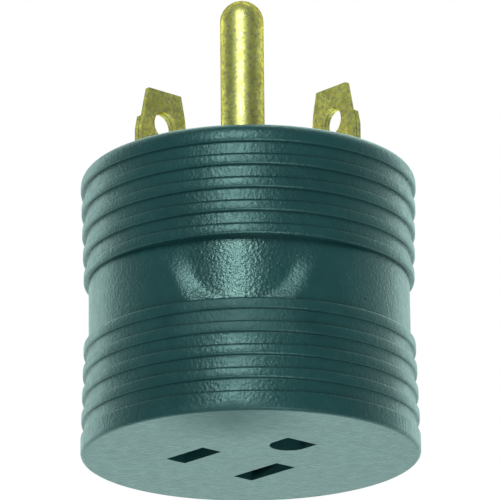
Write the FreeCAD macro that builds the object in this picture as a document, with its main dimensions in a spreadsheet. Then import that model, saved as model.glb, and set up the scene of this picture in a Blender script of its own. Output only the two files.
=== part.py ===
import FreeCAD, Part
import math
import os

import Sketcher

# A caravan power adapter in one moulded puck: a 30 A travel-trailer plug on top and a 15 A socket below.
# Millimetres. The origin is the centre of the socket face, which the part stands on, and +Z points along
# the plug blades. The ground pin is on the -Y side and the two blades are on the +Y side.

DRIVING_SIZES = [
    # the grip jacket
    ("body_radius", 22.75),        # over the end ribs
    ("body_height", 39.5),         # socket face to plug face
    ("plug_edge_round", 1.7),      # rounding of the plug face's edge
    ("socket_edge_round", 0.5),    # rounding of the socket face's edge
    ("end_rib_extra", 1.15),       # how much taller the end ribs are than the others
    ("rib_height", 1.6),
    ("rib_pitch", 3.175),
    ("rib_round", 0.2),            # rounding of the rib corners
    ("groove_depth", 0.55),
    ("group_taper", 0.4),          # how much smaller the rib beside the waist is than the end rib
    ("waist_depth", 0.7),          # waist below the rib beside it
    ("waist_bevel", 0.4),          # bevel of the ribs beside the waist
    ("scoop_depth", 0.8),          # thumb scoop floor below the waist
    ("scoop_radius", 6.6),         # of the floor
    ("scoop_slope", 2.5),          # width of the sloping border
    ("scoop_step", 0.08),          # low wall between slope and floor
    ("scoop_drop", 2.05),          # scoop centre below the waist's upper edge
    ("face_wall", 2.2),            # jacket in front of the socket core
    # the socket end, a standard 15 A straight-blade pattern
    ("socket_turn", -45.0),        # degrees from +X to the line from the slots to the ground hole
    ("slot_spacing", 12.7),
    ("ground_spacing", 11.89),     # slot line to ground hole
    ("slot_line", -4.35),          # slot line from the body axis
    ("hot_slot_length", 7.35),
    ("neutral_slot_length", 8.65),
    ("window_width", 3.3),         # slot windows in the jacket
    ("window_margin", 0.6),        # window beyond the core's own slot, in all
    ("slot_width", 2.3),           # slots in the core
    ("ground_hole_radius", 2.6),
    ("core_radius", 16.0),
    ("core_depth", 14.5),
    ("core_front", 1.6),           # core wall in front of the contacts
    ("cover_thickness", 1.8),
    ("cavity_play", 0.7),          # room round each contact in its cavity
    # the contacts
    ("contact_sheet", 0.7),
    ("leaf_back_gap", 1.9),        # half gap between the leaves at their root
    ("leaf_pinch_gap", 0.55),      # half gap where they grip
    ("leaf_mouth_gap", 1.3),       # half gap at the lead-in
    ("leaf_mouth_length", 2.6),
    ("contact_play", 0.4),         # contact tips above the core's front wall
    ("sleeve_bore", 2.3),          # ground contact, inside radius
    ("sleeve_slit_width", 0.6),
    ("sleeve_slit_length", 7.0),
    ("tail_width", 5.0),
    ("tail_reach", 4.2),           # contact centre to its rivet
    # the links and rivets
    ("link_sheet", 0.8),
    ("link_width", 5.0),
    ("foot_overhang", 2.5),        # strip beyond each rivet centre
    ("bend_round", 0.5),
    ("rivet_radius", 1.1),
    ("rivet_head_radius", 1.9),
    ("rivet_head_height", 0.6),
    # the plug end, a standard 30 A travel-trailer pattern
    ("bridge_radius", 18.9),
    ("bridge_height", 10.0),
    ("boss_radius", 17.8),         # the part of the bridge that shows in the plug face
    ("boss_height", 3.0),
    ("plug_offset_x", -0.25),      # middle of the plug pattern from the body axis
    ("blade_offset_x", 12.0),      # from the middle of the plug pattern
    ("blade_offset_y", 7.6),
    ("blade_turn", 45.0),          # degrees, each blade about its own centre
    ("blade_width", 8.5),
    ("blade_tip_width", 5.9),
    ("blade_taper", 6.0),
    ("blade_length", 15.2),        # above the plug face
    ("blade_sheet", 0.72),
    ("blade_seam", 0.08),          # between the two folded layers
    ("nose_drop", 0.9),            # back layer's end below the tip
    ("nose_rebate", 1.1),          # how much narrower the back layer's nose is on the outer edge
    ("shoulder_drop", 4.1),        # where the back layer reaches its full width, below the tip
    ("blade_hole_radius", 1.95),
    ("blade_hole_drop", 4.95),     # hole centre below the tip
    ("blade_foot_width", 6.0),
    ("blade_foot_reach", 4.6),     # blade centre plane to its rivet
    ("pin_radius", 2.95),
    ("pin_length", 22.2),          # above the plug face
    ("pin_seat_margin", 0.5),     # how much larger the pin is where the bridge holds it
    ("pin_offset_y", -8.4),
    ("collar_radius", 4.3),
    ("collar_height", 2.2),
    ("tenon_radius", 1.6),
    ("tenon_head_radius", 2.5),
    ("tenon_head_height", 0.8),
    ("washer_radius", 3.2),
    ("washer_thickness", 0.6),
    ("fit_gap", 0.05),             # clearance round pieces that are slid together
]

RIBS_PER_GROUP = 5
SLEEVE_SLITS = 3
SHEET_NAME = "Dims"

document = FreeCAD.newDocument("caravan_power_adapter")
sheet = document.addObject("Spreadsheet::Sheet", SHEET_NAME)
for row, (alias, number) in enumerate(DRIVING_SIZES, start=1):
    sheet.set("A%d" % row, alias)
    sheet.set("B%d" % row, str(number))
    sheet.setAlias("B%d" % row, alias)
document.recompute()


# ---------------------------------------------------------------- sizes that follow the sheet

class Size:
    """A size worked out from the sheet: its number now, and the formula that keeps it true."""

    def __init__(self, number, formula):
        self.number = number
        self.formula = formula

    def joined(self, other, sign, number):
        return Size(number, "(%s %s %s)" % (self.formula, sign, as_size(other).formula))

    def __add__(self, other):
        return self.joined(other, "+", self.number + as_size(other).number)

    def __sub__(self, other):
        return self.joined(other, "-", self.number - as_size(other).number)

    def __mul__(self, other):
        return self.joined(other, "*", self.number * as_size(other).number)

    def __truediv__(self, other):
        return self.joined(other, "/", self.number / as_size(other).number)

    def __neg__(self):
        return self * -1


def as_size(value):
    if isinstance(value, Size):
        return value
    return Size(float(value), "(%r)" % float(value))


def dim(alias):
    return Size(float(sheet.get(alias)), "%s.%s" % (SHEET_NAME, alias))


def cosine(angle):
    return Size(math.cos(math.radians(angle.number)), "cos(%s * 1deg)" % angle.formula)


def sine(angle):
    return Size(math.sin(math.radians(angle.number)), "sin(%s * 1deg)" % angle.formula)


def hypotenuse(across, up):
    number = math.hypot(across.number, up.number)
    return Size(number, "sqrt(%s ^ 2 + %s ^ 2)" % (across.formula, up.formula))


def heading(across, up):
    """The angle in degrees of the line that runs that far across and up."""
    number = math.degrees(math.atan2(up.number, across.number))
    return Size(number, "atan2(%s; %s) / 1deg" % (up.formula, across.formula))


def turned(point, angle, centre):
    """The point, turned by the angle and then moved by the centre."""
    x = centre[0] + point[0] * cosine(angle) - point[1] * sine(angle)
    y = centre[1] + point[0] * sine(angle) + point[1] * cosine(angle)
    return (x, y)


ZERO = as_size(0)
ON_AXIS = (ZERO, ZERO)

body_height = dim("body_height")
core_top = dim("face_wall") + dim("core_depth")
cover_top = core_top + dim("cover_thickness")
bridge_bottom = body_height - dim("bridge_height")
blade_thickness = dim("blade_sheet") * 2 + dim("blade_seam")
feet_bottom = bridge_bottom - dim("blade_sheet")
contact_sheet = dim("contact_sheet")
link_sheet = dim("link_sheet")
contact_tip = dim("face_wall") + dim("core_front") + dim("contact_play")
sleeve_outside = dim("sleeve_bore") + contact_sheet
pin_seat_radius = dim("pin_radius") + dim("pin_seat_margin")
waist_bottom = dim("end_rib_extra") + dim("rib_pitch") * (RIBS_PER_GROUP - 1) + dim("rib_height")
waist_top = body_height - waist_bottom
waist_radius = dim("body_radius") - dim("group_taper") - dim("waist_depth")


def in_socket(along, across):
    """A place in the socket pattern: along from slots to ground hole, and across from slot to slot."""
    return turned((as_size(along), as_size(across)), dim("socket_turn"), ON_AXIS)


def tail_rivet_point(along, across, toward):
    """Where a contact tail, folded towards one side, is riveted to its link."""
    return in_socket(along, as_size(across) + dim("tail_reach") * toward)


def blade_centre(side):
    return dim("plug_offset_x") + dim("blade_offset_x") * side, dim("blade_offset_y")


def blade_angle(side):
    return dim("blade_turn") * -side


PIN_CENTRE = (dim("plug_offset_x"), dim("pin_offset_y"))


def foot_rivet_point(side):
    """Where a blade foot is riveted to its link."""
    return turned((ZERO, -dim("blade_foot_reach")), blade_angle(side), blade_centre(side))


SLOT_ALONG = dim("slot_line")
GROUND_ALONG = dim("slot_line") + dim("ground_spacing")
HOT_ACROSS = dim("slot_spacing") * -0.5
NEUTRAL_ACROSS = dim("slot_spacing") * 0.5
SLOTS = ((HOT_ACROSS, dim("hot_slot_length")), (NEUTRAL_ACROSS, dim("neutral_slot_length")))
HOT_SIDE = -1
NEUTRAL_SIDE = 1
HOT_TAIL = -1       # which way each contact tail is folded over the cover
NEUTRAL_TAIL = 1
GROUND_TAIL = 1
TAIL_RIVET_POINTS = {
    "hot": tail_rivet_point(SLOT_ALONG, HOT_ACROSS, HOT_TAIL),
    "neutral": tail_rivet_point(SLOT_ALONG, NEUTRAL_ACROSS, NEUTRAL_TAIL),
    "ground": tail_rivet_point(GROUND_ALONG, 0, GROUND_TAIL),
}
FOOT_RIVET_POINTS = {
    "hot": foot_rivet_point(HOT_SIDE),
    "neutral": foot_rivet_point(NEUTRAL_SIDE),
}


# ---------------------------------------------------------------- drawing helpers

def bind(target, path, value):
    target.setExpression(path, as_size(value).formula)


def new_body(name):
    body = document.addObject("PartDesign::Body", name)
    body.Label = name
    return body


def origin_feature(body, role):
    return next(item for item in body.Origin.OriginFeatures if item.Role == role)


def new_sketch(body, name, plane, level=None):
    """A sketch on one of the body's own planes, raised by level along the plane's normal."""
    sketch = body.newObject("Sketcher::SketchObject", body.Name + "_" + name)
    sketch.AttachmentSupport = [(origin_feature(body, plane), "")]
    sketch.MapMode = "FlatFace"
    if level is not None:
        bind(sketch, "AttachmentOffset.Base.z", level)
    return sketch


def hold_point(sketch, geometry, point, place):
    """Hold a point at its two distances from the sketch's origin."""
    for kind, value in zip(("DistanceX", "DistanceY"), place):
        value = as_size(value)
        index = sketch.addConstraint(Sketcher.Constraint(kind, -1, 1, geometry, point, value.number))
        sketch.setExpression("Constraints[%d]" % index, value.formula)


def draw_outline(sketch, corners):
    """A closed run of straight lines through the corners."""
    places = [(as_size(x), as_size(y)) for x, y in corners]
    vectors = [FreeCAD.Vector(x.number, y.number, 0) for x, y in places]
    first = sketch.GeometryCount
    count = len(vectors)
    for index in range(count):
        sketch.addGeometry(Part.LineSegment(vectors[index], vectors[(index + 1) % count]), False)
    for index in range(count):
        following = first + (index + 1) % count
        sketch.addConstraint(Sketcher.Constraint("Coincident", first + index, 2, following, 1))
    for index in range(count):
        hold_point(sketch, first + index, 1, places[index])


def draw_circle(sketch, centre, radius):
    place = FreeCAD.Vector(as_size(centre[0]).number, as_size(centre[1]).number, 0)
    circle = sketch.addGeometry(Part.Circle(place, FreeCAD.Vector(0, 0, 1), radius.number), False)
    hold_point(sketch, circle, 3, centre)
    index = sketch.addConstraint(Sketcher.Constraint("Radius", circle, radius.number))
    sketch.setExpression("Constraints[%d]" % index, radius.formula)


def rectangle(half_x, half_y, angle=ZERO, centre=ON_AXIS, shift=ON_AXIS):
    """The corners of a rectangle about a shifted middle, turned and then moved to its centre."""
    signs = ((-1, -1), (1, -1), (1, 1), (-1, 1))
    half_x, half_y = as_size(half_x), as_size(half_y)
    corners = [(shift[0] + half_x * sx, shift[1] + half_y * sy) for sx, sy in signs]
    return [turned(corner, angle, centre) for corner in corners]


def add_feature(body, kind, name, sketch, **settings):
    feature = body.newObject("PartDesign::" + kind, body.Name + "_" + name)
    feature.Profile = sketch
    sketch.Visibility = False
    for key, value in settings.items():
        if isinstance(value, Size):
            bind(feature, key, value)
        else:
            setattr(feature, key, value)
    return feature


def pad(body, name, sketch, length, **settings):
    return add_feature(body, "Pad", name, sketch, Length=length, **settings)


def cut(body, name, sketch, kind="Pocket", **settings):
    """A Pocket or Groove, which stops the build if it takes nothing away."""
    document.recompute()
    before = body.Shape.Volume
    feature = add_feature(body, kind, name, sketch, **settings)
    document.recompute()
    if body.Shape.Volume > before - 0.01:
        raise RuntimeError("%s cuts nothing" % feature.Name)
    return feature


def turn_profile(body, name, sketch, kind="Revolution"):
    """A full turn of the sketch about the body's Z axis."""
    axis = (origin_feature(body, "Z_Axis"), [""])
    if kind == "Groove":
        return cut(body, name, sketch, kind, ReferenceAxis=axis, Angle=360.0)
    return add_feature(body, kind, name, sketch, ReferenceAxis=axis, Angle=360.0)


def soften(body, name, radius, wanted, kind="Fillet", far_side=None):
    """A Fillet or Chamfer on every edge that the test wants. A far side makes the chamfer uneven."""
    document.recompute()
    base = body.Tip
    chosen = ["Edge%d" % number for number, edge in enumerate(base.Shape.Edges, start=1) if wanted(edge)]
    if not chosen:
        raise RuntimeError("%s_%s finds no edge" % (body.Name, name))
    feature = body.newObject("PartDesign::" + kind, body.Name + "_" + name)
    feature.Base = (base, chosen)
    bind(feature, "Radius" if kind == "Fillet" else "Size", radius)
    if far_side is not None:
        feature.ChamferType = "Two distances"
        bind(feature, "Size2", far_side)
    document.recompute()
    return feature


def is_close(first, second):
    return abs(first - second) < 1e-4


def is_ring(edge, radius, level):
    """Whether the edge is a circle about the axis, with that radius and level."""
    if edge.Degenerated or not isinstance(edge.Curve, Part.Circle):
        return False
    middle = edge.Curve.Center
    centred = is_close(middle.x, 0) and is_close(middle.y, 0)
    return centred and is_close(edge.Curve.Radius, radius.number) and is_close(middle.z, level.number)


def runs_along(edge, axis):
    """Whether the edge is a straight line along that axis: 0, 1 or 2."""
    if edge.Degenerated or not isinstance(edge.Curve, Part.Line):
        return False
    return is_close(abs(edge.Curve.Direction[axis]), 1)


def passes(edge, **levels):
    """Whether the edge's middle has each named coordinate."""
    middle = edge.CenterOfMass
    return all(is_close(getattr(middle, key), value.number) for key, value in levels.items())


def place(body, position, angle=ZERO):
    """Move the body to the position and turn it about the vertical."""
    for key, value in zip("xyz", position):
        bind(body, "Placement.Base." + key, value)
    bind(body, "Placement.Rotation.Angle", angle)


# ---------------------------------------------------------------- grip jacket

def rib_radius(index):
    """Radius of a rib, counted from the end of the body towards the waist."""
    return dim("body_radius") - dim("group_taper") * (index / (RIBS_PER_GROUP - 1))


def rib_levels(index):
    """Lower and upper level of a rib in the lower group."""
    start = dim("end_rib_extra") + dim("rib_pitch") * index
    return start, start + dim("rib_height")


def rib_group_outline(from_top):
    """Half section of one ribbed end, as turned about the axis."""
    def level(height):
        return body_height - height if from_top else height

    outline = [(ZERO, level(ZERO)), (rib_radius(0), level(ZERO))]
    for index in range(RIBS_PER_GROUP):
        start, end = rib_levels(index)
        if index > 0:
            outline.append((rib_radius(index - 1) - dim("groove_depth"), level(start)))
            outline.append((rib_radius(index), level(start)))
        outline.append((rib_radius(index), level(end)))
        if index < RIBS_PER_GROUP - 1:
            outline.append((rib_radius(index) - dim("groove_depth"), level(end)))
    outline.append((ZERO, level(waist_bottom)))
    return outline


def is_rib_corner(edge):
    """Whether the edge is an outer rib corner, apart from the body's ends and the waist's edges."""
    for index in range(RIBS_PER_GROUP):
        start, end = rib_levels(index)
        levels = [start] if index > 0 else []
        if index < RIBS_PER_GROUP - 1:
            levels.append(end)
        for level in levels:
            if is_ring(edge, rib_radius(index), level):
                return True
            if is_ring(edge, rib_radius(index), body_height - level):
                return True
    return False


def is_scoop_rim(edge):
    """Whether the edge is where a scoop's hole meets the waist's surface."""
    if edge.Degenerated or isinstance(edge.Curve, Part.Circle):
        return False
    middle = edge.valueAt((edge.FirstParameter + edge.LastParameter) / 2)
    return is_close(math.hypot(middle.x, middle.y), waist_radius.number)


def make_grip_jacket():
    """The soft outer moulding, with its ribs, waist, thumb scoops and slot windows."""
    body = new_body("grip_jacket")
    half_height = (waist_top - waist_bottom) / 2
    middle = (waist_top + waist_bottom) / 2
    waist = new_sketch(body, "waist_outline", "XZ_Plane")
    draw_outline(waist, rectangle(waist_radius / 2, half_height, shift=(waist_radius / 2, middle)))
    turn_profile(body, "waist", waist)

    scoops = new_sketch(body, "scoop_outline", "XZ_Plane")
    draw_circle(scoops, (ZERO, waist_top - dim("scoop_drop")), dim("scoop_radius"))
    cut(body, "scoop_holes", scoops, Length=waist_radius * 2, Midplane=True)
    soften(body, "scoop_slopes", dim("scoop_slope"), is_scoop_rim, kind="Chamfer",
           far_side=dim("scoop_depth") - dim("scoop_step"))
    floor = new_sketch(body, "scoop_floor_outline", "XZ_Plane")
    floor_radius = waist_radius - dim("scoop_depth")
    draw_outline(floor, rectangle(floor_radius / 2, half_height, shift=(floor_radius / 2, middle)))
    turn_profile(body, "scoop_floor", floor)

    for name, from_top in (("lower_ribs", False), ("upper_ribs", True)):
        ribs = new_sketch(body, name + "_outline", "XZ_Plane")
        draw_outline(ribs, rib_group_outline(from_top))
        turn_profile(body, name, ribs)

    soften(body, "rib_rounds", dim("rib_round"), is_rib_corner)
    soften(body, "socket_edge", dim("socket_edge_round"), lambda edge: is_ring(edge, rib_radius(0), ZERO))
    soften(body, "plug_edge", dim("plug_edge_round"),
           lambda edge: is_ring(edge, rib_radius(0), body_height))
    inner_rib = rib_radius(RIBS_PER_GROUP - 1)
    soften(body, "waist_bevels", dim("waist_bevel"),
           lambda edge: is_ring(edge, inner_rib, waist_bottom) or is_ring(edge, inner_rib, waist_top),
           kind="Chamfer")

    flange_top = body_height - dim("boss_height")
    bore = new_sketch(body, "bore_outline", "XZ_Plane")
    draw_outline(bore, [
        (ZERO, dim("face_wall")),
        (dim("core_radius"), dim("face_wall")),
        (dim("core_radius"), bridge_bottom),
        (dim("bridge_radius"), bridge_bottom),
        (dim("bridge_radius"), flange_top),
        (dim("boss_radius"), flange_top),
        (dim("boss_radius"), body_height),
        (ZERO, body_height),
    ])
    turn_profile(body, "bore", bore, kind="Groove")

    windows = new_sketch(body, "slot_windows", "XY_Plane")
    for across, length in SLOTS:
        corners = rectangle(length / 2, dim("window_width") / 2, dim("socket_turn"),
                            in_socket(SLOT_ALONG, across))
        draw_outline(windows, corners)
    cut(body, "windows", windows, Length=dim("face_wall"), Reversed=True)
    cut_ground_hole(body, dim("ground_hole_radius"), ZERO, dim("face_wall"))
    return body


def cut_ground_hole(body, radius, level, depth):
    """A U-shaped ground hole: round towards the slots and square on the far side."""
    round_end = new_sketch(body, "ground_round", "XY_Plane", level)
    draw_circle(round_end, in_socket(GROUND_ALONG, 0), radius)
    cut(body, "ground_round_hole", round_end, Length=depth, Reversed=True)
    square_end = new_sketch(body, "ground_square", "XY_Plane", level)
    draw_outline(square_end, rectangle(radius / 2, radius, dim("socket_turn"),
                                       in_socket(GROUND_ALONG, 0), shift=(radius / 2, ZERO)))
    cut(body, "ground_square_hole", square_end, Length=depth, Reversed=True)


# ---------------------------------------------------------------- socket core and its cover

def make_socket_core():
    """The rigid insert that holds the three contacts, open at the back."""
    body = new_body("socket_core")
    disc = new_sketch(body, "disc", "XY_Plane", dim("face_wall"))
    draw_circle(disc, ON_AXIS, dim("core_radius"))
    pad(body, "block", disc, dim("core_depth"))

    slots = new_sketch(body, "slots", "XY_Plane", dim("face_wall"))
    cavities = new_sketch(body, "cavities", "XY_Plane", dim("face_wall") + dim("core_front"))
    for across, length in SLOTS:
        centre = in_socket(SLOT_ALONG, across)
        half_slot = (length - dim("window_margin")) / 2
        draw_outline(slots, rectangle(half_slot, dim("slot_width") / 2, dim("socket_turn"), centre))
        half_wide = dim("leaf_back_gap") + contact_sheet + dim("cavity_play")
        draw_outline(cavities, rectangle(length / 2, half_wide, dim("socket_turn"), centre))
    draw_circle(cavities, in_socket(GROUND_ALONG, 0), sleeve_outside + dim("cavity_play"))
    cut(body, "slot_holes", slots, Length=dim("core_front"), Reversed=True)
    cut_ground_hole(body, dim("ground_hole_radius"), dim("face_wall"), dim("core_front"))
    cut(body, "cavity_holes", cavities, Length=dim("core_depth") - dim("core_front"), Reversed=True)
    return body


def make_socket_cover():
    """The plate that shuts the contact cavities, with a slit for each contact tail."""
    body = new_body("socket_cover")
    disc = new_sketch(body, "disc", "XY_Plane", core_top)
    draw_circle(disc, ON_AXIS, dim("core_radius"))
    pad(body, "plate", disc, dim("cover_thickness"))
    slits = new_sketch(body, "slits", "XY_Plane", core_top)
    for along, across in ((SLOT_ALONG, HOT_ACROSS), (SLOT_ALONG, NEUTRAL_ACROSS), (GROUND_ALONG, 0)):
        half_long = dim("tail_width") / 2 + dim("fit_gap")
        half_wide = contact_sheet / 2 + dim("fit_gap")
        draw_outline(slits, rectangle(half_long, half_wide, dim("socket_turn"), in_socket(along, across)))
    cut(body, "tail_slits", slits, Length=dim("cover_thickness"), Reversed=True)
    recess_depth = dim("rivet_head_height") + dim("fit_gap")
    recesses = new_sketch(body, "recesses", "XY_Plane", cover_top)
    for point in TAIL_RIVET_POINTS.values():
        draw_circle(recesses, point, dim("rivet_head_radius") + dim("fit_gap"))
    cut(body, "rivet_recesses", recesses, Length=recess_depth)
    return body


# ---------------------------------------------------------------- socket contacts

def add_contact_tail(body, toward):
    """The tail, up through the cover and folded flat on it towards +Y (1) or -Y (-1)."""
    half = contact_sheet / 2
    end = dim("tail_reach") + dim("foot_overhang")
    tail = new_sketch(body, "tail_outline", "YZ_Plane")
    draw_outline(tail, [
        (half * -toward, core_top),
        (half * toward, core_top),
        (half * toward, cover_top),
        (end * toward, cover_top),
        (end * toward, cover_top + contact_sheet),
        (half * -toward, cover_top + contact_sheet),
    ])
    pad(body, "tail", tail, dim("tail_width"), Midplane=True)
    soften(body, "tail_bend", dim("bend_round"),
           lambda edge: passes(edge, y=half * -toward, z=cover_top + contact_sheet))
    hole = new_sketch(body, "rivet_hole_outline", "XY_Plane", cover_top)
    draw_circle(hole, (ZERO, dim("tail_reach") * toward), dim("rivet_radius"))
    cut(body, "rivet_hole", hole, Length=contact_sheet, Reversed=True)


def make_slot_contact(name, across, slot_length, toward):
    """A double-wipe contact: two leaves that grip a blade between them."""
    body = new_body(name)
    root = core_top - contact_sheet
    pinch = contact_tip + dim("leaf_mouth_length")
    inner = [
        (dim("leaf_mouth_gap"), contact_tip),
        (dim("leaf_pinch_gap"), pinch),
        (dim("leaf_back_gap"), root),
    ]
    outer = [(gap + contact_sheet, level) for gap, level in reversed(inner)]
    top_corner = (dim("leaf_back_gap") + contact_sheet, core_top)
    half_outline = inner[::-1] + outer[::-1] + [top_corner]
    mirrored = [(-gap, level) for gap, level in reversed(half_outline)]
    leaves = new_sketch(body, "leaves_outline", "YZ_Plane")
    draw_outline(leaves, half_outline + mirrored)
    pad(body, "leaves", leaves, slot_length - dim("cavity_play") * 2, Midplane=True)
    add_contact_tail(body, toward)
    x, y = in_socket(SLOT_ALONG, across)
    place(body, (x, y, ZERO), dim("socket_turn"))
    return body


def make_ground_contact(toward):
    """A slit sleeve that grips the round ground pin."""
    body = new_body("ground_contact")
    root = core_top - contact_sheet
    sleeve = new_sketch(body, "sleeve_outline", "XZ_Plane")
    draw_outline(sleeve, [
        (dim("sleeve_bore"), contact_tip),
        (sleeve_outside, contact_tip),
        (sleeve_outside, core_top),
        (ZERO, core_top),
        (ZERO, root),
        (dim("sleeve_bore"), root),
    ])
    turn_profile(body, "sleeve", sleeve)
    slit = new_sketch(body, "slit_outline", "XY_Plane", contact_tip)
    draw_outline(slit, rectangle(sleeve_outside / 2, dim("sleeve_slit_width") / 2,
                                 shift=(sleeve_outside / 2, ZERO)))
    first_slit = cut(body, "slit", slit, Length=dim("sleeve_slit_length"), Reversed=True)
    pattern = body.newObject("PartDesign::PolarPattern", "ground_contact_slits")
    pattern.Originals = [first_slit]
    pattern.Axis = (origin_feature(body, "Z_Axis"), [""])
    pattern.Angle = 360
    pattern.Occurrences = SLEEVE_SLITS
    body.Tip = pattern
    document.recompute()
    add_contact_tail(body, toward)
    x, y = in_socket(GROUND_ALONG, 0)
    place(body, (x, y, ZERO), dim("socket_turn"))
    return body


# ---------------------------------------------------------------- plug bridge, blades and ground pin

def make_plug_bridge():
    """The rigid insert that carries the blades and the ground pin, flush with the plug face."""
    body = new_body("plug_bridge")
    flange_top = body_height - dim("boss_height")
    section = new_sketch(body, "section", "XZ_Plane")
    draw_outline(section, [
        (ZERO, bridge_bottom),
        (dim("bridge_radius"), bridge_bottom),
        (dim("bridge_radius"), flange_top),
        (dim("boss_radius"), flange_top),
        (dim("boss_radius"), body_height),
        (ZERO, body_height),
    ])
    turn_profile(body, "block", section)
    holes = new_sketch(body, "holes", "XY_Plane", bridge_bottom)
    for side in (-1, 1):
        half_wide = dim("blade_width") / 2 + dim("fit_gap")
        half_thick = blade_thickness / 2 + dim("fit_gap")
        draw_outline(holes, rectangle(half_wide, half_thick, blade_angle(side), blade_centre(side)))
    draw_circle(holes, PIN_CENTRE, pin_seat_radius + dim("fit_gap"))
    cut(body, "blade_and_pin_holes", holes, Length=dim("bridge_height"), Reversed=True)
    seat = new_sketch(body, "collar_seat_outline", "XY_Plane", bridge_bottom)
    draw_circle(seat, PIN_CENTRE, dim("collar_radius") + dim("fit_gap"))
    cut(body, "collar_seat", seat, Length=dim("collar_height"), Reversed=True)
    recess_depth = dim("rivet_head_height") + dim("fit_gap")
    recesses = new_sketch(body, "recesses", "XY_Plane", bridge_bottom)
    for point in FOOT_RIVET_POINTS.values():
        draw_circle(recesses, point, dim("rivet_head_radius") + dim("fit_gap"))
    cut(body, "rivet_recesses", recesses, Length=recess_depth, Reversed=True)
    return body


def make_blade(name, side):
    """A blade folded from one strip, with its fold on the inner edge and a foot under the bridge."""
    body = new_body(name)
    tip = body_height + dim("blade_length")
    half = dim("blade_width") / 2
    half_tip = dim("blade_tip_width") / 2
    fold = half * -side
    outline = new_sketch(body, "outline", "XZ_Plane")
    draw_outline(outline, [
        (-half, bridge_bottom),
        (half, bridge_bottom),
        (half, tip - dim("blade_taper")),
        (half_tip, tip),
        (-half_tip, tip),
        (-half, tip - dim("blade_taper")),
    ])
    pad(body, "layers", outline, blade_thickness, Midplane=True)
    soften(body, "fold_round", blade_thickness / 2 - dim("blade_seam") / 2,
           lambda edge: runs_along(edge, 2) and is_close(edge.CenterOfMass.x, fold.number))

    seam = new_sketch(body, "seam_outline", "XY_Plane", bridge_bottom)
    seam_middle = dim("blade_sheet") * (0.5 * side)
    draw_outline(seam, rectangle((dim("blade_width") - dim("blade_sheet")) / 2, dim("blade_seam") / 2,
                                 shift=(seam_middle, ZERO)))
    cut(body, "seam", seam, Length=dim("bridge_height") + dim("blade_length"), Reversed=True)

    back_top = new_sketch(body, "back_top_outline", "XZ_Plane", dim("blade_seam") / 2)
    nose_edge = (half_tip - dim("nose_rebate")) * side
    shoulder = (half - dim("nose_rebate")) * side
    draw_outline(back_top, [
        (fold, tip),
        (fold, tip - dim("nose_drop")),
        (nose_edge, tip - dim("nose_drop")),
        (shoulder, tip - dim("shoulder_drop")),
        (-fold, tip - dim("shoulder_drop")),
        (-fold, tip),
    ])
    cut(body, "back_top", back_top, Length=blade_thickness)

    hole = new_sketch(body, "hole_outline", "XZ_Plane")
    draw_circle(hole, (ZERO, tip - dim("blade_hole_drop")), dim("blade_hole_radius"))
    cut(body, "hole", hole, Length=blade_thickness * 2, Midplane=True)

    foot_end = -(dim("blade_foot_reach") + dim("foot_overhang"))
    heel = dim("blade_seam") * -0.5
    foot = new_sketch(body, "foot_outline", "YZ_Plane")
    draw_outline(foot, [
        (heel, feet_bottom),
        (heel, bridge_bottom),
        (foot_end, bridge_bottom),
        (foot_end, feet_bottom),
    ])
    pad(body, "foot", foot, dim("blade_foot_width"), Midplane=True)
    soften(body, "foot_bend", dim("bend_round"), lambda edge: passes(edge, y=heel, z=feet_bottom))
    rivet_hole = new_sketch(body, "rivet_hole_outline", "XY_Plane", bridge_bottom)
    draw_circle(rivet_hole, (ZERO, -dim("blade_foot_reach")), dim("rivet_radius"))
    cut(body, "rivet_hole", rivet_hole, Length=dim("blade_sheet"))
    x, y = blade_centre(side)
    place(body, (x, y, ZERO), blade_angle(side))
    return body


def make_ground_pin():
    """The turned ground pin: domed tip, collar seated in the bridge, and a tenon headed over the link."""
    body = new_body("ground_pin")
    tip = body_height + dim("pin_length")
    washer_bottom = bridge_bottom - link_sheet - dim("washer_thickness")
    head_bottom = washer_bottom - dim("tenon_head_height")
    collar_top = bridge_bottom + dim("collar_height")
    shank = new_sketch(body, "shank_outline", "XZ_Plane")
    draw_outline(shank, [
        (ZERO, head_bottom),
        (dim("tenon_head_radius"), head_bottom),
        (dim("tenon_head_radius"), washer_bottom),
        (dim("tenon_radius"), washer_bottom),
        (dim("tenon_radius"), bridge_bottom),
        (dim("collar_radius"), bridge_bottom),
        (dim("collar_radius"), collar_top),
        (pin_seat_radius, collar_top),
        (pin_seat_radius, body_height),
        (dim("pin_radius"), body_height),
        (dim("pin_radius"), tip - dim("pin_radius")),
        (ZERO, tip - dim("pin_radius")),
    ])
    turn_profile(body, "shank", shank)
    dome = body.newObject("PartDesign::AdditiveSphere", "ground_pin_dome")
    bind(dome, "Radius", dim("pin_radius"))
    dome.AttachmentSupport = [(origin_feature(body, "XY_Plane"), "")]
    dome.MapMode = "FlatFace"
    bind(dome, "AttachmentOffset.Base.z", tip - dim("pin_radius"))
    document.recompute()
    soften(body, "head_round", dim("tenon_head_height") / 2,
           lambda edge: is_ring(edge, dim("tenon_head_radius"), head_bottom))
    place(body, PIN_CENTRE + (ZERO,))
    return body


def make_ground_washer():
    """The washer between the ground link and the headed tenon."""
    body = new_body("ground_washer")
    ring = new_sketch(body, "ring", "XY_Plane", bridge_bottom - link_sheet - dim("washer_thickness"))
    draw_circle(ring, ON_AXIS, dim("washer_radius"))
    draw_circle(ring, ON_AXIS, dim("tenon_radius"))
    pad(body, "plate", ring, dim("washer_thickness"))
    place(body, PIN_CENTRE + (ZERO,))
    return body


# ---------------------------------------------------------------- links and rivets

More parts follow.
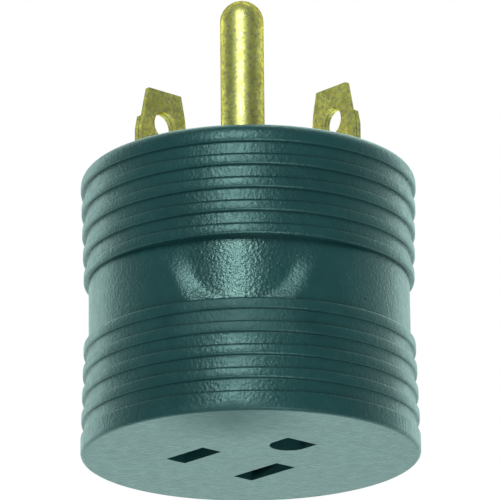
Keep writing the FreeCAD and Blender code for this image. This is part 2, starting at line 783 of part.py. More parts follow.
def make_link(name, start, end, top, end_hole_radius):
    """A stepped strip from a contact tail at start up to end, where its upper face is at top."""
    body = new_body(name)
    across = end[0] - start[0]
    up = end[1] - start[1]
    span = hypotenuse(across, up)
    low = cover_top + contact_sheet
    high = top - link_sheet
    half_riser = link_sheet / 2
    overhang = dim("foot_overhang")
    outline = new_sketch(body, "outline", "XZ_Plane")
    draw_outline(outline, [
        (-overhang, low),
        (span / 2 + half_riser, low),
        (span / 2 + half_riser, high),
        (span + overhang, high),
        (span + overhang, top),
        (span / 2 - half_riser, top),
        (span / 2 - half_riser, low + link_sheet),
        (-overhang, low + link_sheet),
    ])
    pad(body, "strip", outline, dim("link_width"), Midplane=True)
    soften(body, "bends", dim("bend_round"),
           lambda edge: passes(edge, x=span / 2 + half_riser, z=low)
           or passes(edge, x=span / 2 - half_riser, z=top))
    low_hole = new_sketch(body, "low_hole_outline", "XY_Plane", low)
    draw_circle(low_hole, ON_AXIS, dim("rivet_radius"))
    cut(body, "low_hole", low_hole, Length=link_sheet, Reversed=True)
    high_hole = new_sketch(body, "high_hole_outline", "XY_Plane", high)
    draw_circle(high_hole, (span, ZERO), end_hole_radius)
    cut(body, "high_hole", high_hole, Length=link_sheet, Reversed=True)
    place(body, (start[0], start[1], ZERO), heading(across, up))
    return body


def make_rivet(name, point, bottom, top):
    """A set rivet, which fills its hole: a shank from bottom to top with a head at each free face."""
    body = new_body(name)
    head = dim("rivet_head_radius")
    low = bottom - dim("rivet_head_height")
    high = top + dim("rivet_head_height")
    section = new_sketch(body, "section", "XZ_Plane")
    draw_outline(section, [
        (ZERO, low),
        (head, low),
        (head, bottom),
        (dim("rivet_radius"), bottom),
        (dim("rivet_radius"), top),
        (head, top),
        (head, high),
        (ZERO, high),
    ])
    turn_profile(body, "turned", section)
    soften(body, "head_rounds", dim("rivet_head_height") / 2,
           lambda edge: is_ring(edge, head, low) or is_ring(edge, head, high))
    place(body, (point[0], point[1], ZERO))
    return body


def group(name, members):
    """Identical fasteners in one node, as separate solids."""
    compound = document.addObject("Part::Compound", name)
    compound.Label = name
    compound.Links = members
    return compound


# ---------------------------------------------------------------- inner moulding

def make_inner_mould(conductors):
    """The hard first shot that fills the space round the links, between cover and bridge."""
    block = document.addObject("Part::Cylinder", "inner_mould_block")
    bind(block, "Radius", dim("core_radius"))
    bind(block, "Height", bridge_bottom - cover_top)
    bind(block, "Placement.Base.z", cover_top)
    metal = document.addObject("Part::MultiFuse", "inner_mould_metal")
    metal.Shapes = conductors
    mould = document.addObject("Part::Cut", "inner_mould")
    mould.Label = "inner_mould"
    mould.Base = block
    mould.Tool = metal
    return mould


# ---------------------------------------------------------------- the whole adapter

def build_adapter():
    """Every sub-part, in the order that they are put together."""
    hot_contact = make_slot_contact("hot_contact", HOT_ACROSS, dim("hot_slot_length"), HOT_TAIL)
    neutral_contact = make_slot_contact("neutral_contact", NEUTRAL_ACROSS, dim("neutral_slot_length"),
                                        NEUTRAL_TAIL)
    ground_contact = make_ground_contact(GROUND_TAIL)
    hot_blade = make_blade("hot_blade", HOT_SIDE)
    neutral_blade = make_blade("neutral_blade", NEUTRAL_SIDE)
    ground_pin = make_ground_pin()
    ground_washer = make_ground_washer()

    hot_link = make_link("hot_link", TAIL_RIVET_POINTS["hot"], FOOT_RIVET_POINTS["hot"],
                         feet_bottom, dim("rivet_radius"))
    neutral_link = make_link("neutral_link", TAIL_RIVET_POINTS["neutral"], FOOT_RIVET_POINTS["neutral"],
                             feet_bottom, dim("rivet_radius"))
    ground_link = make_link("ground_link", TAIL_RIVET_POINTS["ground"], PIN_CENTRE,
                            bridge_bottom, dim("tenon_radius"))

    tail_top = cover_top + contact_sheet + link_sheet
    tail_rivets = [make_rivet(name + "_tail_rivet", point, cover_top, tail_top)
                   for name, point in TAIL_RIVET_POINTS.items()]
    foot_rivets = [make_rivet(name + "_foot_rivet", point, feet_bottom - link_sheet, bridge_bottom)
                   for name, point in FOOT_RIVET_POINTS.items()]

    conductors = [hot_contact, neutral_contact, ground_contact, hot_blade, neutral_blade, ground_pin,
                  ground_washer, hot_link, neutral_link, ground_link] + tail_rivets + foot_rivets
    return [
        make_grip_jacket(),
        make_plug_bridge(),
        make_socket_core(),
        make_socket_cover(),
        make_inner_mould(conductors),
        hot_contact, neutral_contact, ground_contact,
        hot_blade, neutral_blade, ground_pin, ground_washer,
        hot_link, neutral_link, ground_link,
        group("contact_rivets", tail_rivets),
        group("blade_rivets", foot_rivets),
    ]


def check_document():
    """Stop if anything in the document has failed."""
    for item in document.Objects:
        if "Invalid" in item.State or "Error" in item.State:
            raise RuntimeError("%s failed: %s" % (item.Name, item.State))


def export_nodes(nodes):
    for node in nodes:
        if node.Shape.isNull() or not node.Shape.isValid():
            raise RuntimeError("%s has no valid shape" % node.Label)
    os.makedirs("parts", exist_ok=True)
    for node in nodes:
        node.Shape.exportStep("parts/%s.step" % node.Label)
        print("%-18s solids %d  volume %9.2f mm3" % (node.Label, len(node.Shape.Solids), node.Shape.Volume))


adapter_nodes = build_adapter()
document.recompute()
check_document()
export_nodes(adapter_nodes)
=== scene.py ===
import math

import bmesh
import bpy
from mathutils import Matrix, Vector


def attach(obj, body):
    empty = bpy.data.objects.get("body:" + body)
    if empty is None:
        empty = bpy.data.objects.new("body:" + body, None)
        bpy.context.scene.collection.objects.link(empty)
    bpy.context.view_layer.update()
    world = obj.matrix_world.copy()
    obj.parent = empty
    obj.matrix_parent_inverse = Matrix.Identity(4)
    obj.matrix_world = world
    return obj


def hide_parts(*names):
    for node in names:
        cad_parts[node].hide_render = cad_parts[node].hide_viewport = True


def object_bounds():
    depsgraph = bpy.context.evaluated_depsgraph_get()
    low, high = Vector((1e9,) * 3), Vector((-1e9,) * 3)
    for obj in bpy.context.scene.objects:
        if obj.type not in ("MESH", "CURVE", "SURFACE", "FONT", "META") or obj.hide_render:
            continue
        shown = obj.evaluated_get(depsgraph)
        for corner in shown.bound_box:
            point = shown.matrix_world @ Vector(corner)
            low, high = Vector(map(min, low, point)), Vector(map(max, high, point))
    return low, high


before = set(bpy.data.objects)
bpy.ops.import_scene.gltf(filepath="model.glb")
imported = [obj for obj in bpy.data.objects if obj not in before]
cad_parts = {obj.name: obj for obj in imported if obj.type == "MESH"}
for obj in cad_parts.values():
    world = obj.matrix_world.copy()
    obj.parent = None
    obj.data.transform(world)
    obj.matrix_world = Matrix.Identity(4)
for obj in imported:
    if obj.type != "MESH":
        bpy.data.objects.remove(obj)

# A caravan power adapter: a ribbed soft-PVC puck with two slanted brass blades and a round brass ground pin
# on top, and a household socket in its base. Metres, in the CAD frame: +Z runs along the blades.

MM = 0.001
CAD_BOX = [list(corner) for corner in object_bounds()]

# the jacket, in millimetres
BODY_RADIUS = 22.74         # over the end ribs
BODY_HEIGHT = 39.5
WAIST_RADIUS = 21.65
WAIST_BOTTOM = 15.45
WAIST_TOP = 24.05
SCOOP_LEVEL = 22.0          # height of the scoop's centre
SCOOP_DEPTH = 0.8
SCOOP_FLOOR = 6.6           # radius of the floor
SCOOP_BORDER = 3.2          # width of the slope round it
SCOOP_FADE_LEVEL = 19.2     # above this the slope widens
SCOOP_FADE_WIDTH = 9.0      # by this much at the waist's upper edge
RIBS_PER_GROUP = 5
RIB_HEIGHT = 1.6
RIB_PITCH = 3.175
END_RIB_EXTRA = 1.15        # how much taller the end ribs are than the others
RIB_TAPER = 0.1             # how much smaller each rib is than the one outside it
GROOVE_DEPTH = 0.55
SOCKET_EDGE = 0.5           # roundings of the two end edges
PLUG_EDGE = 1.7
RIB_ROUND = 0.4
GROOVE_ROUND = 0.12
SKIN_FLOOR = 20.6           # everything of the jacket outside this radius is skin
LIP_WIDTH = 0.35            # the skin runs on this far under each end face
LIP_GAP = 0.01
FLAT_TOLERANCE = 0.001
TURN_STEPS = 320            # round the turned skin
WAIST_ROWS = 48             # up the waist, fine enough for the scoops


# ---------------------------------------------------------------- material helpers

def linear(hex_colour):
    """An sRGB hex colour as the linear RGBA that a shader socket takes."""
    channels = [int(hex_colour[i:i + 2], 16) / 255 for i in (1, 3, 5)]
    return [c / 12.92 if c <= 0.04045 else ((c + 0.055) / 1.055) ** 2.4 for c in channels] + [1.0]


def add_node(tree, kind, inputs=None, **settings):
    """A node with its settings, whose inputs are each a value or another node's output."""
    node = tree.nodes.new("ShaderNode" + kind)
    for name, value in settings.items():
        setattr(node, name, value)
    for name, value in (inputs or {}).items():
        if isinstance(value, bpy.types.NodeSocket):
            tree.links.new(value, node.inputs[name])
        else:
            node.inputs[name].default_value = value
    return node


def new_material(name):
    """An empty node material with its output node."""
    material = bpy.data.materials.new(name)
    material.use_nodes = True
    tree = material.node_tree
    tree.nodes.clear()
    return material, tree, tree.nodes.new("ShaderNodeOutputMaterial")


def per_mm(size):
    """A texture scale for features of that size in millimetres."""
    return 1.0 / (size * MM)


def blend_colours(tree, amount, first, second, mode="MIX"):
    """The colour output of a Mix node between two colours."""
    mix = add_node(tree, "Mix", data_type="RGBA", blend_type=mode)
    for index, value in ((0, amount), (6, first), (7, second)):
        if isinstance(value, bpy.types.NodeSocket):
            tree.links.new(value, mix.inputs[index])
        else:
            mix.inputs[index].default_value = value
    return mix.outputs[2]


def product(tree, first, second):
    return add_node(tree, "Math", {0: first, 1: second}, operation="MULTIPLY").outputs[0]


def shifted_by(tree, value, amount, shift):
    """The value, plus the shift where the amount is one."""
    return add_node(tree, "Math", {0: amount, 1: shift, 2: value}, operation="MULTIPLY_ADD").outputs[0]


def inside_range(tree, coords, axis, low, high, soft):
    """One between two places on an axis and zero outside them, with soft ends, all in millimetres."""
    place = add_node(tree, "SeparateXYZ", {"Vector": coords}).outputs[axis]
    rise = add_node(tree, "MapRange", {"Value": place, "From Min": (low - soft) * MM,
                                       "From Max": (low + soft) * MM})
    fall = add_node(tree, "MapRange", {"Value": place, "From Min": (high - soft) * MM,
                                       "From Max": (high + soft) * MM, "To Min": 1.0, "To Max": 0.0})
    return product(tree, rise.outputs["Result"], fall.outputs["Result"])


# ---------------------------------------------------------------- materials

PLASTIC_IOR = 1.53

# where the PVC is polished or dull, in millimetres
POLISH_SIDES = (-5.5, 4.5)  # the middle of the scoops
PATCH_BOTTOM = 10.55        # a plain area on the front of the two ribs below the waist
PATCH_SIDES = (-8.5, 7.5)
DULL_FRONT, DULL_BACK = -19, -8   # the front edge of the socket face
DULL_SIDES = (-7, 4)


def soft_pvc():
    """Flexible PVC from a spark-eroded mould: deep teal grey with a pebbled grain that sparkles in the light.
    Thumbs have polished the middle of the scoops. The front of the two ribs below the waist and the front
    edge of the socket face are duller, and dark specks of dirt sit in the surface.
    The grain is drawn about twice its real size, so that it shows."""
    material, tree, output = new_material("soft_pvc_moulded")
    coords = add_node(tree, "TexCoord").outputs["Object"]
    pebbles = add_node(tree, "TexVoronoi", {"Vector": coords, "Scale": per_mm(0.42), "Randomness": 1.0},
                       feature="SMOOTH_F1")
    grain = add_node(tree, "TexNoise", {"Vector": coords, "Scale": per_mm(0.3), "Detail": 3.0,
                                        "Roughness": 0.6})
    clouds = add_node(tree, "TexNoise", {"Vector": coords, "Scale": per_mm(9.0), "Detail": 4.0,
                                         "Roughness": 0.6})
    scuffs = add_node(tree, "TexNoise", {"Vector": coords, "Scale": per_mm(1.6), "Detail": 6.0,
                                         "Roughness": 0.7})
    cloud_amount = add_node(tree, "MapRange", {"Value": clouds.outputs["Fac"], "From Min": 0.3,
                                               "From Max": 0.7})
    colour = blend_colours(tree, cloud_amount.outputs["Result"], linear(PVC_DEEP), linear(PVC_LIGHT))
    scuff_amount = add_node(tree, "MapRange", {"Value": scuffs.outputs["Fac"], "From Min": 0.56,
                                               "From Max": 0.8, "To Max": 0.35})
    colour = blend_colours(tree, scuff_amount.outputs["Result"], colour, linear(PVC_SCUFF))
    specks = add_node(tree, "TexVoronoi", {"Vector": coords, "Scale": per_mm(4.5)}, feature="F1")
    speck_amount = add_node(tree, "MapRange", {"Value": specks.outputs["Distance"], "From Min": 0.02,
                                               "From Max": 0.045, "To Min": 1.0, "To Max": 0.0})
    colour = blend_colours(tree, speck_amount.outputs["Result"], colour, linear(PVC_DIRT))
    roughness = add_node(tree, "MapRange", {"Value": scuffs.outputs["Fac"], "From Min": 0.3, "From Max": 0.7,
                                            "To Min": 0.3, "To Max": 0.42}).outputs["Result"]
    roughness = shifted_by(tree, roughness, speck_amount.outputs["Result"], 0.4)
    waist = inside_range(tree, coords, "Z", WAIST_BOTTOM, WAIST_TOP, 0.4)
    polish = product(tree, waist, inside_range(tree, coords, "X", *POLISH_SIDES, 2.5))
    roughness = shifted_by(tree, roughness, polish, -0.1)
    patch = inside_range(tree, coords, "Z", PATCH_BOTTOM, WAIST_BOTTOM, 0.3)
    patch = product(tree, patch, inside_range(tree, coords, "X", *PATCH_SIDES, 1.2))
    patch = product(tree, patch, inside_range(tree, coords, "Y", -BODY_HEIGHT, 0, 0.5))
    roughness = shifted_by(tree, roughness, patch, 0.15)
    face = inside_range(tree, coords, "Z", -BODY_HEIGHT, 0.9, 0.4)
    front = add_node(tree, "MapRange", {
        "Value": add_node(tree, "SeparateXYZ", {"Vector": coords}).outputs["Y"],
        "From Min": DULL_FRONT * MM, "From Max": DULL_BACK * MM, "To Min": 1.0, "To Max": 0.0})
    dull = product(tree, face, inside_range(tree, coords, "X", *DULL_SIDES, 5))
    roughness = shifted_by(tree, roughness, product(tree, dull, front.outputs["Result"]), 0.22)
    height = add_node(tree, "Math", {0: grain.outputs["Fac"], 1: pebbles.outputs["Distance"]},
                      operation="ADD")
    bump = add_node(tree, "Bump", {"Height": height.outputs[0], "Strength": 0.8, "Distance": 0.05 * MM})
    shader = add_node(tree, "BsdfPrincipled", {
        "Base Color": colour, "Roughness": roughness, "Normal": bump.outputs["Normal"],
        "IOR": PLASTIC_IOR, "Specular Tint": linear(PVC_SHEEN)})
    tree.links.new(shader.outputs[0], output.inputs[0])
    return material


def filled_nylon(name, dark, light):
    """Moulded insert of filled nylon or polypropylene: duller than the PVC, with short fibre flecks."""
    material, tree, output = new_material(name)
    coords = add_node(tree, "TexCoord").outputs["Object"]
    fibres = add_node(tree, "TexNoise", {"Vector": coords, "Scale": per_mm(0.5), "Detail": 5.0,
                                         "Roughness": 0.75})
    amount = add_node(tree, "MapRange", {"Value": fibres.outputs["Fac"], "From Min": 0.35, "From Max": 0.75})
    colour = blend_colours(tree, amount.outputs["Result"], linear(dark), linear(light))
    roughness = add_node(tree, "MapRange", {"Value": fibres.outputs["Fac"], "To Min": 0.38, "To Max": 0.6})
    bump = add_node(tree, "Bump", {"Height": fibres.outputs["Fac"], "Strength": 0.3, "Distance": 0.02 * MM})
    shader = add_node(tree, "BsdfPrincipled", {
        "Base Color": colour, "Roughness": roughness.outputs["Result"], "Normal": bump.outputs["Normal"],
        "IOR": PLASTIC_IOR})
    tree.links.new(shader.outputs[0], output.inputs[0])
    return material


def worked_metal(name, stretch, colours, mark_size, rough_low, rough_high):
    """Metal with fine marks from rolling or turning, which run the long way of the stretch. Handling has
    mottled it with tarnish, in small spots and in larger blooms."""
    bright, dull, stain, edge = [linear(hex_colour) for hex_colour in colours]
    material, tree, output = new_material(name)
    coords = add_node(tree, "TexCoord").outputs["Object"]
    stretched = add_node(tree, "Mapping", {"Vector": coords, "Scale": stretch}).outputs["Vector"]
    marks = add_node(tree, "TexNoise", {"Vector": stretched, "Scale": per_mm(mark_size), "Detail": 3.0})
    spots = add_node(tree, "TexNoise", {"Vector": coords, "Scale": per_mm(0.8), "Detail": 4.0,
                                        "Roughness": 0.7})
    blooms = add_node(tree, "TexNoise", {"Vector": coords, "Scale": per_mm(4.5), "Detail": 4.0,
                                         "Roughness": 0.6})
    spot_amount = add_node(tree, "MapRange", {"Value": spots.outputs["Fac"], "From Min": 0.42,
                                              "From Max": 0.7, "To Max": 0.75}).outputs["Result"]
    bloom_amount = add_node(tree, "MapRange", {"Value": blooms.outputs["Fac"], "From Min": 0.4,
                                               "From Max": 0.7, "To Max": 0.5}).outputs["Result"]
    colour = blend_colours(tree, spot_amount, bright, dull)
    colour = blend_colours(tree, bloom_amount, colour, dull)
    stains = add_node(tree, "TexNoise", {"Vector": coords, "Scale": per_mm(0.45), "Detail": 2.0,
                                         "Distortion": 0.6})
    stain_amount = add_node(tree, "MapRange", {"Value": stains.outputs["Fac"], "From Min": 0.5,
                                               "From Max": 0.66, "To Max": 0.75}).outputs["Result"]
    colour = blend_colours(tree, stain_amount, colour, stain)
    roughness = add_node(tree, "MapRange", {"Value": spots.outputs["Fac"], "From Min": 0.35, "From Max": 0.7,
                                            "To Min": rough_low, "To Max": rough_high})
    height = add_node(tree, "Math", {0: marks.outputs["Fac"], 1: spots.outputs["Fac"]}, operation="ADD")
    bump = add_node(tree, "Bump", {"Height": height.outputs[0], "Strength": 0.3, "Distance": 0.012 * MM})
    # the edge colour tints the reflection where the metal is seen edge-on; on the brass it is a painted shade
    # that darkens the sides
    shader = add_node(tree, "BsdfPrincipled", {
        "Base Color": colour, "Metallic": 1.0, "Roughness": roughness.outputs["Result"],
        "Normal": bump.outputs["Normal"], "Specular Tint": edge})
    tree.links.new(shader.outputs[0], output.inputs[0])
    return material


BRASS_STAIN = "#a9937e"
BRASS_EDGE_SHADE = "#5f5236"      # painted shade: darkens the brass's reflection where it is seen edge-on, on the sides of the pin and blades
PVC_DEEP = "#153235"
PVC_LIGHT = "#1b3c3f"
PVC_SCUFF = "#2c4f51"
PVC_DIRT = "#0c1414"
PVC_SHEEN = "#e6fffd"
SOFT_PVC = soft_pvc()
BRIDGE_NYLON = filled_nylon("bridge_nylon_glass_filled", "#15191a", "#1f2425")
CORE_NYLON = filled_nylon("core_nylon_glass_filled", "#3b4849", "#4a595a")
INNER_POLYPROPYLENE = filled_nylon("inner_polypropylene", "#202222", "#2a2c2c")
BLADE_BRASS = worked_metal("blade_brass_rolled", (1, 1, 0.05),
                           ("#f2d87c", "#968a48", BRASS_STAIN, BRASS_EDGE_SHADE), 0.12, 0.3, 0.46)
PIN_BRASS = worked_metal("pin_brass_turned", (0.05, 0.05, 1),
                         ("#f4dc82", "#a08f4c", BRASS_STAIN, BRASS_EDGE_SHADE), 0.1, 0.4, 0.54)
CONTACT_BRASS = worked_metal("contact_brass_stamped", (1, 1, 0.1),
                             ("#d9bd72", "#94824a", BRASS_STAIN, BRASS_EDGE_SHADE), 0.15, 0.3, 0.45)
WASHER_STEEL = worked_metal("washer_steel_zinc_plated", (1, 1, 1),
                            ("#a3a7a8", "#878b8c", "#8f8f8c", "#b9bdc0"), 0.15, 0.3, 0.45)

NODE_MATERIALS = {
    "grip_jacket": SOFT_PVC,
    "plug_bridge": BRIDGE_NYLON,
    "socket_core": CORE_NYLON,
    "socket_cover": CORE_NYLON,
    "inner_mould": INNER_POLYPROPYLENE,
    "hot_blade": BLADE_BRASS,
    "neutral_blade": BLADE_BRASS,
    "ground_pin": PIN_BRASS,
    "hot_contact": CONTACT_BRASS,
    "neutral_contact": CONTACT_BRASS,
    "ground_contact": CONTACT_BRASS,
    "hot_link": CONTACT_BRASS,
    "neutral_link": CONTACT_BRASS,
    "ground_link": CONTACT_BRASS,
    "contact_rivets": CONTACT_BRASS,
    "blade_rivets": CONTACT_BRASS,
    "ground_washer": WASHER_STEEL,
}


# ---------------------------------------------------------------- stage

LIGHT_TINT = "#dcfff8"      # daylight lamps with a little green
BACKDROP_GLOW = 1.7
ROOM_GLOW = 0.2
FLOOR_SIZE = 3.0            # half its width, in metres
FLOOR_FADE_START = 0.2
FLOOR_DROP = 0.2 * MM       # below the socket face


def make_floor():
    """A pale floor just under the socket face. It is clear from below, so that a low camera sees the face,
    and fades out towards the backdrop."""
    material, tree, output = new_material("pale_floor")
    matte = add_node(tree, "BsdfDiffuse", {"Color": linear("#f6dcdf")})
    clear = add_node(tree, "BsdfTransparent")
    underside = add_node(tree, "NewGeometry").outputs["Backfacing"]
    reach = add_node(tree, "VectorMath", {0: add_node(tree, "TexCoord").outputs["Object"]},
                     operation="LENGTH").outputs["Value"]
    fade = add_node(tree, "MapRange", {"Value": reach, "From Min": FLOOR_FADE_START, "From Max": FLOOR_SIZE},
                    interpolation_type="SMOOTHSTEP").outputs["Result"]
    clearness = add_node(tree, "Math", {0: underside, 1: fade}, operation="MAXIMUM").outputs[0]
    mix = add_node(tree, "MixShader", {0: clearness, 1: matte.outputs[0], 2: clear.outputs[0]})
    tree.links.new(mix.outputs[0], output.inputs[0])
    bm = bmesh.new()
    bmesh.ops.create_grid(bm, x_segments=1, y_segments=1, size=FLOOR_SIZE)
    bmesh.ops.translate(bm, verts=bm.verts, vec=(0, 0, -FLOOR_DROP))
    mesh = bpy.data.meshes.new("floor")
    bm.to_mesh(mesh)
    bm.free()
    floor = bpy.data.objects.new("floor", mesh)
    floor.data.materials.append(material)
    bpy.context.scene.collection.objects.link(floor)
    floor.visible_diffuse = False
    floor.visible_glossy = False
    floor.visible_transmission = False
    floor.visible_shadow = False


def make_world():
    """A white backdrop behind and beside the part, and a dim room behind the camera."""
    world = bpy.data.worlds.new("studio")
    world.use_nodes = True
    tree = world.node_tree
    tree.nodes.clear()
    output = tree.nodes.new("ShaderNodeOutputWorld")
    direction = add_node(tree, "TexCoord").outputs["Generated"]
    behind = add_node(tree, "SeparateXYZ", {"Vector": direction}).outputs["Y"]
    glow = add_node(tree, "MapRange", {
        "Value": behind, "From Min": -0.4, "From Max": 0.85, "To Min": ROOM_GLOW, "To Max": BACKDROP_GLOW},
        interpolation_type="SMOOTHSTEP")
    seen = add_node(tree, "Background", {"Color": (1, 1, 1, 1), "Strength": 1.0})
    felt = add_node(tree, "Background", {"Color": linear(LIGHT_TINT), "Strength": glow.outputs["Result"]})
    camera_ray = add_node(tree, "LightPath").outputs["Is Camera Ray"]
    mix = add_node(tree, "MixShader", {0: camera_ray, 1: felt.outputs[0], 2: seen.outputs[0]})
    tree.links.new(mix.outputs[0], output.inputs[0])
    bpy.context.scene.world = world


def add_softbox(name, azimuth, elevation, distance, width, height, watts, colour):
    """A rectangular lamp that faces the part, at an azimuth and elevation seen from it."""
    light = bpy.data.lights.new(name, "AREA")
    light.shape = "RECTANGLE"
    light.size = width
    light.size_y = height
    light.energy = watts
    light.color = linear(colour)[:3]
    lamp = bpy.data.objects.new(name, light)
    turn, lift = math.radians(azimuth), math.radians(elevation)
    away = Vector((math.sin(turn) * math.cos(lift), -math.cos(turn) * math.cos(lift), math.sin(lift)))
    middle = Vector((0, 0, (CAD_BOX[0][2] + CAD_BOX[1][2]) / 2))
    lamp.location = middle + away * distance
    lamp.rotation_euler = away.to_track_quat("Z", "Y").to_euler()
    bpy.context.scene.collection.objects.link(lamp)


CAMERA_DISTANCE = 648.0 * MM
CAMERA_AZIMUTH = 2.7        # degrees towards +X from the view along +Y
CAMERA_ELEVATION = -17.31   # below the socket face
CAMERA_ROLL = -0.585
SENSOR_WIDTH = 36.0         # in mm, as Blender has it
LENS = SENSOR_WIDTH * 4812 / 500
VIEW_CENTRE = (0.16 * MM, 9.36 * MM)   # right of and above the point that the distance is counted from
ORBIT_POINT = Vector((0, 0, 19.21 * MM))


def make_camera():
    """A long lens, low in front of the part, so that the socket face shows."""
    camera = bpy.data.objects.new("camera", bpy.data.cameras.new("camera"))
    camera.data.lens = LENS
    camera.data.sensor_width = SENSOR_WIDTH
    camera.data.clip_start = 0.05
    turn, lift = math.radians(CAMERA_AZIMUTH), math.radians(CAMERA_ELEVATION)
    away = Vector((math.sin(turn) * math.cos(lift), -math.cos(turn) * math.cos(lift), math.sin(lift)))
    right = Vector((math.cos(turn), math.sin(turn), 0))
    up = away.cross(right)
    location = ORBIT_POINT + away * CAMERA_DISTANCE
    aim = ORBIT_POINT + right * VIEW_CENTRE[0] + up * VIEW_CENTRE[1]
    facing = (location - aim).to_track_quat("Z", "Y").to_matrix()
    camera.matrix_world = Matrix.Translation(location) @ (
        facing @ Matrix.Rotation(math.radians(CAMERA_ROLL), 3, "Z")).to_4x4()
    bpy.context.scene.collection.objects.link(camera)
    bpy.context.scene.camera = camera


# ---------------------------------------------------------------- the jacket, with softly dished thumb scoops

def scoop_depth(x, z):
    """How far the scoop lies below the waist at that place, in millimetres."""
    fade = max(0.0, (z - SCOOP_FADE_LEVEL) / (WAIST_TOP - SCOOP_FADE_LEVEL))
    border = SCOOP_BORDER + SCOOP_FADE_WIDTH * fade * fade
    reach = (math.hypot(x, z - SCOOP_LEVEL) - SCOOP_FLOOR) / border
    reach = min(max(reach, 0.0), 1.0)
    return SCOOP_DEPTH * (1.0 - reach * reach * (3.0 - 2.0 * reach))


def rib_corners():
    """Radius and level of each corner of the lower ribs, and of the grooves' inner corners."""
    outer, inner = [], []
    for rib in range(RIBS_PER_GROUP):
        radius = BODY_RADIUS - RIB_TAPER * rib
        start = END_RIB_EXTRA + RIB_PITCH * rib if rib > 0 else 0.0
        end = END_RIB_EXTRA + RIB_PITCH * rib + RIB_HEIGHT
        outer += [(radius, start), (radius, end)]
        if rib < RIBS_PER_GROUP - 1:
            inner += [(radius - GROOVE_DEPTH, end), (radius - GROOVE_DEPTH, end + RIB_PITCH - RIB_HEIGHT)]
    return outer, inner


def mirrored(corners):
    """The same corners at the other end of the body."""
    return [(radius, BODY_HEIGHT - level) for radius, level in corners]


def jacket_profile(outer, inner):
    """Half section of the jacket's outer side, from under the socket face to under the plug face."""
    lower = [outer[0], outer[1]]
    for groove in range(RIBS_PER_GROUP - 1):
        lower += inner[2 * groove:2 * groove + 2] + outer[2 * groove + 2:2 * groove + 4]
    upper = mirrored(lower)[::-1]
    waist = [(WAIST_RADIUS, WAIST_BOTTOM + (WAIST_TOP - WAIST_BOTTOM) * row / WAIST_ROWS)
             for row in range(WAIST_ROWS + 1)]
    socket_side = BODY_RADIUS - SOCKET_EDGE - LIP_GAP
    plug_side = BODY_RADIUS - PLUG_EDGE - LIP_GAP
    return ([(socket_side - LIP_WIDTH, LIP_GAP), (socket_side, 0.0)] + lower + waist + upper
            + [(plug_side, BODY_HEIGHT), (plug_side - LIP_WIDTH, BODY_HEIGHT - LIP_GAP)])


def axis_distance(place):
    """How far a place in metres is from the body's axis, in millimetres."""
    return math.hypot(place.x, place.y) / MM


def round_rings(bm, corners, size, segments):
    """Round the edge rings that run through these corners."""
    rings = {(round(radius, 3), round(level, 3)) for radius, level in corners}
    edges = []
    for edge in bm.edges:
        places = {(round(axis_distance(vert.co), 3), round(vert.co.z / MM, 3)) for vert in edge.verts}
        if len(places) == 1 and places <= rings:
            edges.append(edge)
    bmesh.ops.bevel(bm, geom=edges, offset=size * MM, offset_type="OFFSET", segments=segments,
                    profile=0.5, affect="EDGES", material=-1)


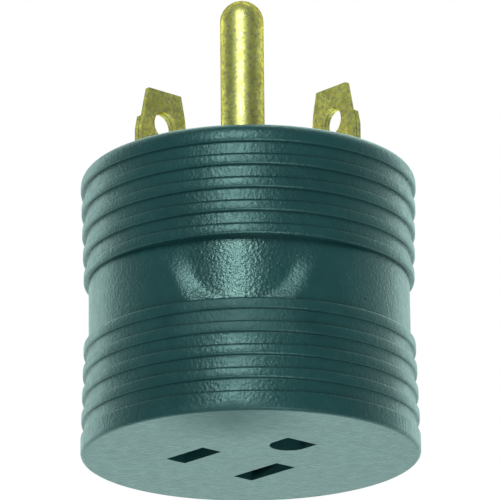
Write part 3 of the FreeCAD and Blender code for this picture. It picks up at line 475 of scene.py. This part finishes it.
def turn_skin():
    """The jacket's outer side, turned from its profile, rounded, and dished at the front and the back."""
    outer, inner = rib_corners()
    skin = bmesh.new()
    verts = [skin.verts.new((radius * MM, 0, level * MM)) for radius, level in jacket_profile(outer, inner)]
    edges = [skin.edges.new(pair) for pair in zip(verts, verts[1:])]
    bmesh.ops.spin(skin, geom=verts + edges, axis=(0, 0, 1), cent=(0, 0, 0), angle=math.tau,
                   steps=TURN_STEPS, use_merge=True)
    round_rings(skin, inner + mirrored(inner), GROOVE_ROUND, 2)
    round_rings(skin, outer[1:] + mirrored(outer[1:]), RIB_ROUND, 4)
    round_rings(skin, outer[:1], SOCKET_EDGE, 4)
    round_rings(skin, mirrored(outer[:1]), PLUG_EDGE, 8)
    for vert in skin.verts:
        radius, level = axis_distance(vert.co), vert.co.z / MM
        if radius < WAIST_RADIUS + LIP_GAP and WAIST_BOTTOM - LIP_GAP < level < WAIST_TOP + LIP_GAP:
            factor = 1.0 - scoop_depth(vert.co.x / MM, level) / radius
            vert.co.x *= factor
            vert.co.y *= factor
    bmesh.ops.recalc_face_normals(skin, faces=skin.faces[:])
    if sum(face.normal.x * face.calc_center_median().x for face in skin.faces) < 0:
        bmesh.ops.reverse_faces(skin, faces=skin.faces[:])
    mesh = bpy.data.meshes.new("grip_jacket_skin")
    skin.to_mesh(mesh)
    skin.free()
    return mesh


def is_skin_face(face):
    """Whether a face of the CAD jacket is part of its outer side."""
    middle = face.calc_center_median()
    between_ends = FLAT_TOLERANCE < middle.z / MM < BODY_HEIGHT - FLAT_TOLERANCE
    return axis_distance(middle) > SKIN_FLOOR and between_ends


SHARP_ANGLE = math.radians(32)


def make_jacket():
    """The jacket's end faces, windows and bore from its CAD mesh, with a finer outer side."""
    bm = bmesh.new()
    bm.from_mesh(bpy.data.objects["grip_jacket"].data)
    bmesh.ops.remove_doubles(bm, verts=bm.verts, dist=FLAT_TOLERANCE * MM)
    bm.normal_update()
    bmesh.ops.delete(bm, geom=[face for face in bm.faces if is_skin_face(face)], context="FACES")
    mesh = turn_skin()
    bm.from_mesh(mesh)
    bm.to_mesh(mesh)
    bm.free()
    mesh.materials.append(SOFT_PVC)
    mesh.shade_smooth()
    mesh.set_sharp_from_angle(angle=SHARP_ANGLE)
    jacket = bpy.data.objects.new("grip_jacket_skin", mesh)
    bpy.context.scene.collection.objects.link(jacket)
    weighted = jacket.modifiers.new("even_shading", "WEIGHTED_NORMAL")
    weighted.keep_sharp = True
    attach(jacket, "root")
    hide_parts("grip_jacket")


# ---------------------------------------------------------------- pieces

for node_name, node_material in NODE_MATERIALS.items():
    cad_object = bpy.data.objects[node_name]
    cad_object.data.materials.clear()
    cad_object.data.materials.append(node_material)

make_jacket()
make_floor()
make_world()
make_camera()
add_softbox("front_key", -7, 24, 0.9, 0.13, 0.50, 5.6, LIGHT_TINT)
add_softbox("left_rim", -126, 8, 0.9, 0.24, 0.9, 1.5, LIGHT_TINT)
add_softbox("right_rim", 138, 8, 0.9, 0.24, 0.9, 1.4, LIGHT_TINT)
add_softbox("top_soft", 168, 58, 1.0, 0.8, 0.8, 2.0, LIGHT_TINT)
add_softbox("low_fill", 8, -40, 0.9, 0.5, 0.5, 5.0, LIGHT_TINT)
bpy.context.scene.view_settings.view_transform = "Standard"
